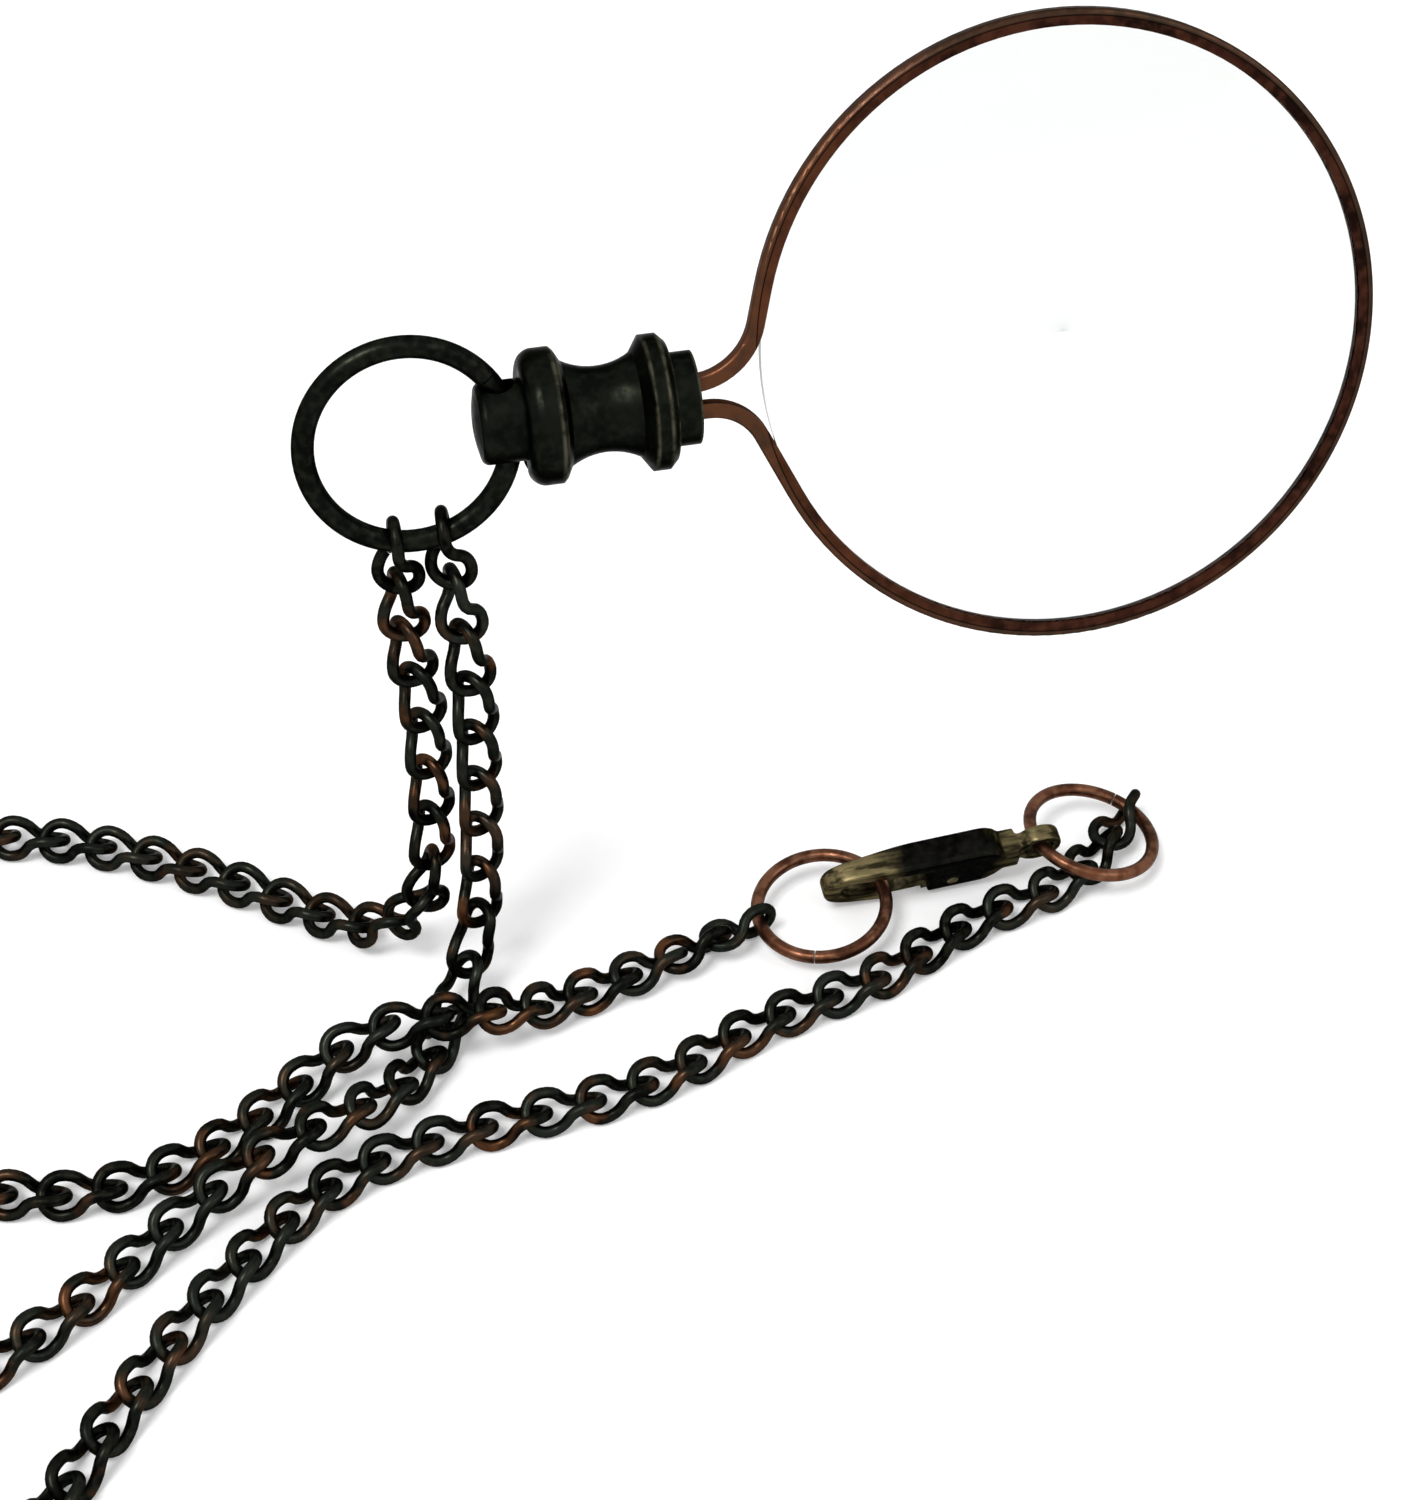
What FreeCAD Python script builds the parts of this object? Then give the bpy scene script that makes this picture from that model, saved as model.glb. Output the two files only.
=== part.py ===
import FreeCAD, Part
import os
from math import acos, asin, atan2, cos, degrees, hypot, pi, radians, sin, sqrt, tan

from FreeCAD import Matrix, Placement, Rotation, Vector

os.makedirs("parts", exist_ok=True)

# Quizzing glass. +X runs along the turned handle from its knob to the lens, +Z is up,
# and the origin is on the handle's axis at the middle of its waist. Millimetres.

# Lens, its wire rim and how they are set on the handle
lens_radius = 20.5
lens_centre_thickness = 2.2
lens_edge_thickness = 0.9
lens_seat_clearance = 0.03
rim_over_lens = 0.7
rim_width = 1.05
rim_depth = 1.25
rim_edge_round = 0.3
rim_groove_depth = 0.4
rim_groove_mouth = 1.05
loop_standoff = 9.86
loop_rise = 1.43
loop_lean_back = 20.5
loop_bend = 2.4
wire_half_spacing = 0.95
upper_bend_start = -0.2
upper_bend_turn = 75.0
lower_bend_start = 0.9
lower_bend_turn = 65.0

# Turned handle, as places along its axis and radii
knob_end = -8.26
knob_dome = 0.3
knob_dome_round = 0.5
knob_radius = 2.7
flange_radius = 4.48
rear_flange_start = -5.35
rear_flange_face = -2.9
rear_flange_foot = 3.3
rear_flange_round = 1.05
rear_flange_fullness = -0.02
flange_bevel = 0.25
waist_radius = 2.83
waist_rear_radius = 3.49
waist_front_radius = 3.45
waist_rear = -2.5
waist_front = 2.15
front_flange_start = 2.85
front_flange_face = 4.4
front_flange_bevel = 0.5
collar_radius = 3.09
collar_face = 6.1
socket_radius = 2.0
socket_depth = 3.2
solder_setback = 0.15

# Bail ring in the knob's cross-hole
ring_outer_radius = 7.5
ring_wire = 1.5
ring_lean_back = 14.3
ring_centre_back = -12.9
ring_centre_rise = -0.8
ring_cut = 0.08
ring_cut_rise = 3.2
hole_radius = 1.2
hole_back = -6.49
hole_tilt = 7.4

# Curb chain: twisted open links of round wire
link_length = 6.4
link_wire = 0.85
link_bow_radius = 1.4
link_twist = 36.0
link_cut = 0.06
upper_pitch = 3.85
lower_pitch = 4.0
hanging_pitch = 4.48
hanging_spaces = 7
floor_level = -48.7
floor_clearance = 0.03
thread_clearance = 0.14
hitch_left = -14.35
hitch_right = -10.95
upper_rolls = [(0, 46), (3, 0), (-10, 0), (-7, 100), (-4, 104), (-1, 67)]
lower_rolls = [(0, 36), (2, 0), (-10, 0), (-7, 25), (-4, 21), (-1, -24)]
steep_heading = 0.8

# End rings on the chain, and the hook clasp between them
end_ring_radius = 5.4
end_ring_wire = 1.0
end_ring_cut = 0.1
end_ring_a_centre = (15.1, -3.3, -46.45)
end_ring_a_tilt = (-6.2, -4.7)
end_ring_b_centre = (37.3, -0.35, -46.1)
end_ring_b_tilt = (11.5, 0.7)
clasp_eye_place = (32.6, -1.35, -45.2)
clasp_window_place = (19.45, -1.75, -45.85)
clasp_length = 17.2
clasp_width = 4.9
clasp_thickness = 2.4
clasp_lean = 20.0
clasp_edge_round = 0.35
clasp_nose_wall = 1.3
clasp_side_wall = 1.2
clasp_window_length = 7.0
clasp_mouth_start = 5.0
clasp_neck_width = 1.9
clasp_neck_start = 14.2
clasp_shoulder_start = 12.4
clasp_shoulder_middle = 13.5
clasp_shoulder_drop = 0.6
clasp_eye_radius = 1.75
clasp_eye_bore = 1.15
clasp_eye_thickness = 1.3
clasp_pocket_end = 12.2
clasp_pocket_roof = 1.1
clasp_pivot = 10.2
clasp_pivot_offset = -1.15
clasp_pin_radius = 0.45
clasp_pin_fit = 0.03
lever_thickness = 1.1
lever_side_gap = 0.08
lever_tip_gap = 0.12
lever_arm_width = 0.95
lever_thumb_length = 0.7
lever_thumb_width = 1.0
lever_thumb_back = 2.2
lever_overlap = 0.2
lever_boss_radius = 1.0
lever_foot_inset = 0.1
spring_strip = 0.2
spring_seat_gap = 0.03
spring_front = 8.6
spring_bow = (9.85, 0.5)
spring_rear = 11.7
clasp_slot_overlap = 0.5
end_ring_a_cut_angle = 250
end_ring_b_cut_angle = 50

# Places worked out from the sizes above
X_AXIS = Vector(1, 0, 0)
Y_AXIS = Vector(0, 1, 0)
Z_AXIS = Vector(0, 0, 1)
ORIGIN = Vector(0, 0, 0)
rim_outer_radius = lens_radius + rim_over_lens
loop_radius = rim_outer_radius - rim_width / 2
loop_reach = rim_outer_radius + loop_standoff
link_half = (link_length - link_wire) / 2
link_lay_height = link_bow_radius * sin(radians(link_twist)) + link_wire / 2
lay = floor_level + floor_clearance + link_lay_height


def write(name, solids):
    """Write one node, a single solid or a group of separate solids."""
    shape = solids[0] if len(solids) == 1 else Part.makeCompound(solids)
    shape.exportStep("parts/" + name + ".step")
    volume = sum(solid.Volume for solid in solids)
    print(name, len(solids), "solids", round(volume, 3), "mm3", "valid", shape.isValid())


def standing_frame(lean_back):
    """The plane that holds the X axis and leans back from upright: its y is up the slope."""
    return Placement(ORIGIN, Rotation(X_AXIS, 90 - lean_back))


def place(solid, placement):
    """A copy of a solid moved by a placement."""
    moved = solid.copy()
    moved.Placement = placement.multiply(moved.Placement)
    return moved


def line(a, b):
    return Part.LineSegment(a, b).toShape()


def arc(a, b, c):
    return Part.Arc(a, b, c).toShape()


def flat_face(edges):
    return Part.Face(Part.Wire(edges))


def sweep(path, section):
    """A solid made by taking a closed section along a path of lines and arcs."""
    return Part.Solid(Part.Wire(path).makePipeShell([section], True, False))


# Lens: thin glass, rounded alike on both faces
def lens():
    rise = (lens_centre_thickness - lens_edge_thickness) / 2
    radius = lens_radius - lens_seat_clearance
    half = lens_edge_thickness / 2
    crown = half + rise
    halfway = radius / 2
    bend = (radius ** 2 + rise ** 2) / (2 * rise)
    sag = crown - bend + sqrt(bend ** 2 - halfway ** 2)
    outline = [
        line(Vector(0, 0, -crown), Vector(0, 0, crown)),
        arc(Vector(0, 0, crown), Vector(halfway, 0, sag), Vector(radius, 0, half)),
        line(Vector(radius, 0, half), Vector(radius, 0, -half)),
        arc(Vector(radius, 0, -half), Vector(halfway, 0, -sag), Vector(0, 0, -crown)),
    ]
    glass = flat_face(outline).revolve(ORIGIN, Z_AXIS, 360)
    glass.translate(Vector(loop_reach, loop_rise, 0))
    return glass


# Rim: one grooved wire, bent round the lens, with both ends side by side in the handle
def rim_section(x, y):
    """The wire's section where it starts, heading along +x: the groove faces -y."""
    half_width = rim_width / 2
    half_depth = rim_depth / 2
    r = rim_edge_round
    mouth = rim_groove_mouth / 2
    floor = lens_edge_thickness / 2 + lens_seat_clearance
    outer = y + half_width
    inner = y - half_width
    corner = r * (1 - cos(radians(45)))

    def at(across, along):
        return Vector(x, across, along)

    edges = [
        line(at(outer, -half_depth + r), at(outer, half_depth - r)),
        arc(at(outer, half_depth - r), at(outer - corner, half_depth - corner),
            at(outer - r, half_depth)),
        line(at(outer - r, half_depth), at(inner, half_depth)),
        line(at(inner, half_depth), at(inner, mouth)),
        line(at(inner, mouth), at(inner + rim_groove_depth, floor)),
        line(at(inner + rim_groove_depth, floor), at(inner + rim_groove_depth, -floor)),
        line(at(inner + rim_groove_depth, -floor), at(inner, -mouth)),
        line(at(inner, -mouth), at(inner, -half_depth)),
        line(at(inner, -half_depth), at(outer - r, -half_depth)),
        arc(at(outer - r, -half_depth), at(outer - corner, -half_depth + corner),
            at(outer, -half_depth + r)),
    ]
    return Part.Wire(edges)


def bend_points(side, start, turn):
    """One wire end: where it bends out of the collar, and where it meets the loop."""
    s = sin(radians(turn))
    c = cos(radians(turn))
    begin = collar_face + start
    meet = Vector(loop_reach - loop_radius * s, loop_rise + side * loop_radius * c, 0)
    run = (meet.x - begin) * s - (side * meet.y - wire_half_spacing) * c
    bend = run / (1 - c)
    half = radians(turn) / 2
    first = Vector(begin, side * wire_half_spacing, 0)
    middle = Vector(begin + bend * sin(half), side * (wire_half_spacing + bend * (1 - cos(half))), 0)
    last = Vector(begin + bend * s, side * (wire_half_spacing + bend * (1 - c)), 0)
    return first, middle, last, meet


def rim_wire():
    root = collar_face - socket_depth + solder_setback
    upper = bend_points(1, upper_bend_start, upper_bend_turn)
    lower = bend_points(-1, lower_bend_start, lower_bend_turn)
    far_side = Vector(loop_reach + loop_radius, loop_rise, 0)
    path = [
        line(Vector(root, wire_half_spacing, 0), upper[0]),
        arc(upper[0], upper[1], upper[2]),
        line(upper[2], upper[3]),
        arc(upper[3], far_side, lower[3]),
        line(lower[3], lower[2]),
        arc(lower[2], lower[1], lower[0]),
        line(lower[0], Vector(root, -wire_half_spacing, 0)),
    ]
    return sweep(path, rim_section(root, wire_half_spacing))


# Handle: turned in one piece, cross-drilled through the knob, with a socket in its collar
def handle():
    dome_edge = knob_end + knob_dome_round
    dome_foot = knob_radius - knob_dome_round
    dome_bend = (dome_foot ** 2 + knob_dome ** 2) / (2 * knob_dome)
    dome_sag = dome_bend - sqrt(dome_bend ** 2 - (dome_foot / 2) ** 2)
    crest = rear_flange_start + rear_flange_round
    crest_mid = crest - rear_flange_round * cos(radians(45))
    crest_mid_r = rear_flange_foot + (flange_radius - rear_flange_foot) * sin(radians(45))
    crest_mid_r += rear_flange_fullness
    rear_edge = rear_flange_face - flange_bevel
    front_edge = front_flange_face - front_flange_bevel
    front_shoulder = flange_radius - front_flange_bevel
    waist_middle = (waist_rear + waist_front) / 2

    def at(x, r):
        return Vector(x, 0, r)

    corner = knob_dome_round * (1 - cos(radians(45)))
    outline = [
        line(at(knob_end - knob_dome, 0), at(collar_face, 0)),
        line(at(collar_face, 0), at(collar_face, collar_radius)),
        line(at(collar_face, collar_radius), at(front_flange_face, collar_radius)),
        line(at(front_flange_face, collar_radius), at(front_flange_face, front_shoulder)),
        line(at(front_flange_face, front_shoulder), at(front_edge, flange_radius)),
        line(at(front_edge, flange_radius), at(front_flange_start, flange_radius)),
        line(at(front_flange_start, flange_radius), at(waist_front, waist_front_radius)),
        arc(at(waist_front, waist_front_radius), at(waist_middle, waist_radius),
            at(waist_rear, waist_rear_radius)),
        line(at(waist_rear, waist_rear_radius), at(rear_flange_face, flange_radius - flange_bevel)),
        line(at(rear_flange_face, flange_radius - flange_bevel), at(rear_edge, flange_radius)),
        line(at(rear_edge, flange_radius), at(crest, flange_radius)),
        arc(at(crest, flange_radius), at(crest_mid, crest_mid_r), at(rear_flange_start, rear_flange_foot)),
        line(at(rear_flange_start, rear_flange_foot), at(rear_flange_start, knob_radius)),
        line(at(rear_flange_start, knob_radius), at(dome_edge, knob_radius)),
        arc(at(dome_edge, knob_radius), at(knob_end + corner, knob_radius - corner),
            at(knob_end, dome_foot)),
        arc(at(knob_end, dome_foot), at(knob_end - knob_dome + dome_sag, dome_foot / 2),
            at(knob_end - knob_dome, 0)),
    ]
    body = flat_face(outline).revolve(ORIGIN, X_AXIS, 360)
    socket_floor = Vector(collar_face - socket_depth, 0, 0)
    socket = Part.makeCylinder(socket_radius, 2 * socket_depth, socket_floor, X_AXIS)
    middle, axis = hole_line()
    reach = 3 * knob_radius
    hole = Part.makeCylinder(hole_radius, 2 * reach, middle - axis * reach, axis)
    return body.cut(socket).cut(hole)


def hole_line():
    """The cross-hole's middle and direction, which is also the bail ring's hinge."""
    frame = standing_frame(ring_lean_back)
    tilt = radians(hole_tilt)
    middle = frame.multVec(Vector(hole_back, 0, 0))
    axis = frame.Rotation.multVec(Vector(-sin(tilt), cos(tilt), 0))
    return middle, axis


def rim_solder(wire):
    """Solder that fills the handle's socket round the two wire ends."""
    start = collar_face - socket_depth
    length = socket_depth - solder_setback
    plug = Part.makeCylinder(socket_radius, length, Vector(start, 0, 0), X_AXIS)
    return plug.cut(wire)


# Rings of round wire, each with the fine cut where it was closed
def cut_ring(outer_radius, wire, cut, cut_angle):
    """A ring in the plane of x and y about the origin, cut at an angle from +x."""
    radius = outer_radius - wire / 2
    ring = Part.makeTorus(radius, wire / 2)
    slot = Part.makeBox(2 * wire, cut, 2 * wire, Vector(radius - wire, -cut / 2, -wire))
    slot.rotate(ORIGIN, Z_AXIS, cut_angle)
    return ring.cut(slot)


def bail_ring():
    radius = ring_outer_radius - ring_wire / 2
    angle = degrees(asin((ring_cut_rise - ring_centre_rise) / radius))
    ring = cut_ring(ring_outer_radius, ring_wire, ring_cut, angle)
    ring.translate(Vector(ring_centre_back, ring_centre_rise, 0))
    return place(ring, standing_frame(ring_lean_back))


def end_ring_frame(centre, tilt):
    about_y = Rotation(Y_AXIS, tilt[0])
    about_x = Rotation(X_AXIS, -tilt[1])
    return Placement(Vector(*centre), about_y.multiply(about_x))


# Chain: one link, and the routes that its copies follow
def chain_link():
    """A link along x whose two bows are twisted opposite ways, cut in one long side."""
    r = link_bow_radius
    a = link_half - r
    y = r * cos(radians(link_twist))
    h = r * sin(radians(link_twist))
    slope = atan2(h, a)
    bend = hypot(a, h) / (2 * sin(slope))
    short = 2 * slope - link_cut / (2 * bend)

    def side_arc(x_sign, y_sign, z_sign, turn):
        """Points at the end, middle and start of an arc from the middle of a side to a bow."""
        places = []
        for share in (1.0, 0.5, 0.0):
            angle = turn * share
            x = x_sign * (a - bend * sin(angle))
            z = z_sign * (h - bend * (1 - cos(angle)))
            places.append(Vector(x, y_sign * y, z))
        return places

    first = side_arc(-1, 1, -1, short)
    second = side_arc(-1, -1, 1, 2 * slope)
    third = side_arc(1, -1, -1, 2 * slope)
    fourth = side_arc(1, 1, 1, short)
    path = [
        arc(first[0], first[1], first[2]),
        arc(first[2], Vector(-a - r, 0, 0), second[2]),
        arc(second[2], second[1], second[0]),
        arc(third[0], third[1], third[2]),
        arc(third[2], Vector(a + r, 0, 0), fourth[2]),
        arc(fourth[2], fourth[1], fourth[0]),
    ]
    start = path[0]
    heading = start.tangentAt(start.FirstParameter)
    circle = Part.makeCircle(link_wire / 2, first[0], heading)
    return sweep(path, Part.Wire([circle])).mirror(ORIGIN, Z_AXIS)


def route_edges(points):
    """Straight runs joined by tangent arcs, as large as the shorter run at each point allows."""
    points = [Vector(*point) for point in points]
    edges = []
    radii = []
    here = points[0]
    for before, corner, after in zip(points, points[1:], points[2:]):
        back = (before - corner).normalize()
        ahead = (after - corner).normalize()
        turn = pi - acos(max(-1.0, min(1.0, back.dot(ahead))))
        cutback = 0.45 * min((before - corner).Length, (after - corner).Length)
        radius = cutback / tan(turn / 2)
        radii.append(radius)
        enter = corner + back * cutback
        leave = corner + ahead * cutback
        inward = (back + ahead).normalize()
        middle = corner + inward * (radius / cos(turn / 2) - radius)
        edges.append(line(here, enter))
        edges.append(arc(enter, middle, leave))
        here = leave
    edges.append(line(here, points[-1]))
    return edges, radii


def point_on(edges, distance):
    """The place and heading at a distance along joined edges."""
    for edge in edges:
        if distance <= edge.Length:
            parameter = edge.getParameterByLength(max(distance, 0.0))
            return edge.valueAt(parameter), edge.tangentAt(parameter).normalize()
        distance -= edge.Length
    last = edges[-1]
    return last.valueAt(last.LastParameter), last.tangentAt(last.LastParameter).normalize()


def link_placements(stretches, pitch, rolls):
    """Links along named stretches, as pairs of a stretch name and a placement.

    They lie at an even pitch and hang at a wider one, pulled straight by their own weight.
    A link's face looks up where the route runs level, and turns with the route where it climbs.
    It also rolls about the route, to fit the ring at each end and to hang face on."""
    points = []
    joints = []
    for name, own_points in stretches:
        points = points + own_points
        joints.append((name, len(points) - 1))
    edges, radii = route_edges(points)
    length = sum(edge.Length for edge in edges)
    lying = length - hanging_spaces * hanging_pitch
    lying_spaces = int(round(lying / pitch))
    step = lying / lying_spaces
    count = lying_spaces + hanging_spaces + 1
    print("chain of", count, "links", round(length, 1), "mm", "pitch", round(step, 3),
          "least bend", round(min(radii), 1), "bends", [round(radius, 1) for radius in radii])
    ends = []
    for name, index in joints:
        run = sum(edge.Length for edge in edges[:2 * index])
        ends.append((name, run))
    placed = []
    normal = Z_AXIS
    for number in range(count):
        along = number * step
        if number > lying_spaces:
            along = lying + (number - lying_spaces) * hanging_pitch
        where, heading = point_on(edges, along)
        if abs(heading.z) < steep_heading:
            normal = Z_AXIS
        normal = (normal - heading * normal.dot(heading)).normalize()
        up = Rotation(heading, roll_at(number, count, rolls)).multVec(normal)
        across = up.cross(heading)
        matrix = Matrix(heading.x, across.x, up.x, where.x,
                        heading.y, across.y, up.y, where.y,
                        heading.z, across.z, up.z, where.z, 0, 0, 0, 1)
        name = next((n for n, end in ends if along <= end), ends[-1][0])
        placed.append((name, Placement(matrix)))
    return placed


def roll_at(number, count, rolls):
    """Roll of a link about the route, between stated links; those below zero count from the end."""
    stated = [(index + count if index < 0 else index, roll) for index, roll in rolls]
    for (first, start), (last, end) in zip(stated, stated[1:]):
        if number <= last:
            return start + (end - start) * (number - first) / (last - first)
    return stated[-1][1]


# The upper chain, from the first end ring by the pile and the back of the floor to the bail ring
ring_run = [(8.55, -3.85, lay + 0.5), (4.4, -5.1, lay + 0.35), (0.3, -6.3, lay + 0.15), (-3.7, -7.4, lay)]
pile = [(-7.6, -8.9, lay + 0.9), (-11.6, -9.9, lay + 2.4), (-16.2, -10.0, lay + 2.8),
        (-20.7, -9.8, lay + 1.9)]
middle_run = [(-24.9, -11.7, lay + 0.4), (-28.8, -14.4, lay), (-33.0, -17.0, lay), (-37.6, -18.4, lay),
              (-42.4, -18.6, lay), (-47.2, -17.4, lay)]
left_turn = [(-52.4, -15.6, lay), (-57.4, -12.4, lay), (-61.2, -7.6, lay), (-63.0, -1.6, lay),
             (-62.4, 5.0, lay), (-59.2, 11.2, lay), (-53.8, 16.2, lay)]
back_run = [(-47.4, 18.6, lay), (-41.2, 17.2, lay), (-34.8, 14.0, lay), (-28.6, 9.9, lay), (-23.0, 5.4, lay)]
hanging_left = [(-18.9, 2.0, lay + 0.7), (-15.8, -0.1, lay + 3.3), (-14.1, -1.0, -40.6),
                (-13.5, -0.9, -35.2), (-13.3, -0.8, -28.8), (-13.4, -0.8, -22.0), (-14.3, -1.3, -15.6)]

# The lower chain, from the second end ring by the clasp and the front of the floor to the bail ring
clasp_run = [(40.1, 1.2, lay + 0.48), (37.0, -2.3, lay + 0.15), (32.6, -4.7, lay), (27.2, -5.9, lay),
             (22.4, -8.2, lay), (17.6, -10.7, lay), (12.6, -11.9, lay), (7.4, -13.4, lay), (2.4, -15.9, lay)]
lower_run = [(-3.2, -17.6, lay), (-9.6, -18.2, lay), (-16.0, -18.9, lay), (-21.9, -20.2, lay),
             (-26.9, -23.0, lay), (-31.6, -27.4, lay), (-36.4, -32.4, lay), (-41.0, -38.3, lay)]
corner_turn = [(-44.9, -43.6, lay), (-49.0, -49.0, lay), (-54.8, -52.2, lay), (-61.2, -50.4, lay),
               (-64.2, -44.8, lay), (-62.2, -38.8, lay), (-56.6, -34.9, lay), (-50.2, -32.7, lay)]
front_run = [(-44.4, -29.6, lay), (-39.2, -25.8, lay), (-34.2, -22.0, lay + 0.5), (-29.2, -19.6, lay + 1.9),
             (-24.2, -18.0, lay + 2.6), (-19.2, -15.2, lay + 1.2), (-15.9, -11.2, lay)]
hanging_right = [(-13.7, -7.4, lay + 0.3), (-11.9, -4.4, lay + 2.6), (-10.7, -3.1, -41.4),
                 (-10.2, -2.8, -35.4), (-10.0, -2.8, -28.8), (-10.0, -2.9, -22.0), (-10.3, -2.7, -15.6)]


def hitch_point(x):
    """Centre of the link that hangs from the bail ring's lowest wire at a place along X."""
    radius = ring_outer_radius - ring_wire / 2
    drop = sqrt(radius ** 2 - (x - ring_centre_back) ** 2)
    wire = standing_frame(ring_lean_back).multVec(Vector(x, ring_centre_rise - drop, 0))
    hang = link_half - link_wire / 2 - ring_wire / 2 - thread_clearance
    return (wire.x, wire.y, wire.z - hang)


upper_stretches = [("chain_ring_run", ring_run), ("chain_pile", pile), ("chain_middle_run", middle_run),
                   ("chain_left_turn", left_turn), ("chain_back_run", back_run),
                   ("chain_hanging_left", hanging_left + [hitch_point(hitch_left)])]
lower_stretches = [("chain_clasp_run", clasp_run), ("chain_lower_run", lower_run),
                   ("chain_corner_turn", corner_turn), ("chain_front_run", front_run),
                   ("chain_hanging_right", hanging_right + [hitch_point(hitch_right)])]


# Clasp, drawn in its own plane: x from the nose to the eye, y up to the spine
def clasp_frame():
    """From the clasp's plane to its place between the two end rings."""
    eye = Vector(*clasp_eye_place)
    window = Vector(*clasp_window_place)
    along = (eye - window).normalize()
    lean = radians(clasp_lean)
    spine = Vector(0, -sin(lean), cos(lean))
    spine = (spine - along * spine.dot(along)).normalize()
    face = along.cross(spine)
    start = eye - along * clasp_length
    return Placement(Matrix(along.x, spine.x, face.x, start.x, along.y, spine.y, face.y, start.y,
                            along.z, spine.z, face.z, start.z, 0, 0, 0, 1))


def slab(edges, thickness):
    """A flat piece of a thickness, centred on its plane."""
    face = flat_face(edges)
    face.translate(Vector(0, 0, -thickness / 2))
    return face.extrude(Vector(0, 0, thickness))


def clasp_body():
    """The hook and its eye: one plate with an open window, slotted for the lever."""
    half = clasp_width / 2
    neck = clasp_neck_width / 2
    waist = half - clasp_shoulder_drop
    wall = half - clasp_side_wall
    end = clasp_length
    window_start = clasp_nose_wall + wall
    window_end = clasp_nose_wall + clasp_window_length
    outer = [
        line(Vector(clasp_mouth_start, -half, 0), Vector(half, -half, 0)),
        arc(Vector(half, -half, 0), Vector(0, 0, 0), Vector(half, half, 0)),
        line(Vector(half, half, 0), Vector(clasp_shoulder_start, half, 0)),
        arc(Vector(clasp_shoulder_start, half, 0), Vector(clasp_shoulder_middle, waist, 0),
            Vector(clasp_neck_start, neck, 0)),
        line(Vector(clasp_neck_start, neck, 0), Vector(end, neck, 0)),
        line(Vector(end, neck, 0), Vector(end, -neck, 0)),
        line(Vector(end, -neck, 0), Vector(clasp_neck_start, -neck, 0)),
        arc(Vector(clasp_neck_start, -neck, 0), Vector(clasp_shoulder_middle, -waist, 0),
            Vector(clasp_shoulder_start, -half, 0)),
        line(Vector(clasp_shoulder_start, -half, 0), Vector(window_end, -half, 0)),
    ]
    inner = [
        line(Vector(window_end, -half, 0), Vector(window_end, wall, 0)),
        line(Vector(window_end, wall, 0), Vector(window_start, wall, 0)),
        arc(Vector(window_start, wall, 0), Vector(clasp_nose_wall, 0, 0), Vector(window_start, -wall, 0)),
        line(Vector(window_start, -wall, 0), Vector(clasp_mouth_start, -wall, 0)),
        line(Vector(clasp_mouth_start, -wall, 0), Vector(clasp_mouth_start, -half, 0)),
    ]
    body = slab(outer + inner, clasp_thickness)
    rounded = []
    for edge in body.Edges:
        middle = edge.CenterOfMass
        on_face = abs(abs(middle.z) - clasp_thickness / 2) < 0.001
        outside = abs(middle.y) > half - 0.01 or middle.x < clasp_nose_wall / 2
        if on_face and outside:
            rounded.append(edge)
    body = body.makeFillet(clasp_edge_round, rounded)
    eye = Part.makeCylinder(clasp_eye_radius, clasp_eye_thickness,
                            Vector(end, 0, -clasp_eye_thickness / 2), Z_AXIS)
    thin = Part.makeBox(2 * clasp_eye_radius, clasp_width, clasp_thickness,
                        Vector(end - clasp_eye_radius, -half, clasp_eye_thickness / 2))
    thin_below = thin.mirror(ORIGIN, Z_AXIS)
    bore = Part.makeCylinder(clasp_eye_bore, 2 * clasp_thickness, Vector(end, 0, -clasp_thickness), Z_AXIS)
    body = body.cut(thin).cut(thin_below).fuse(eye).removeSplitter().cut(bore)
    pin_hole = pin_rod(clasp_pin_radius, 2 * clasp_thickness)
    return body.cut(pin_hole).cut(lever_slot())


def pin_rod(radius, length):
    """A rod on the lever's pivot, centred on the clasp's plane."""
    return Part.makeCylinder(radius, length, Vector(clasp_pivot, clasp_pivot_offset, -length / 2), Z_AXIS)


def lever_slot():
    """The slot for the lever, along the lower side from the window past the pivot."""
    below = -clasp_width / 2 - clasp_slot_overlap
    slot_width = lever_thickness + 2 * lever_side_gap
    start = Vector(clasp_nose_wall + clasp_window_length - clasp_slot_overlap, below, -slot_width / 2)
    return Part.makeBox(clasp_pocket_end - start.x, clasp_pocket_roof - below, slot_width, start)


def clasp_lever():
    """The sprung lever that closes the hook, with a round boss at the pin and a thumb tab."""
    tip = clasp_mouth_start + lever_tip_gap
    foot = -clasp_width / 2 + lever_foot_inset
    side = -lever_thickness / 2
    bar = Part.makeBox(clasp_pivot - tip, lever_arm_width, lever_thickness, Vector(tip, foot, side))
    thumb_start = Vector(clasp_pivot - lever_thumb_back, foot - lever_thumb_length + lever_overlap, side)
    thumb = Part.makeBox(lever_thumb_width, lever_thumb_length, lever_thickness, thumb_start)
    lever = pin_rod(lever_boss_radius, lever_thickness).fuse(bar).fuse(thumb).removeSplitter()
    return lever.cut(pin_rod(clasp_pin_radius + clasp_pin_fit, 2 * lever_thickness))


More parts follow.
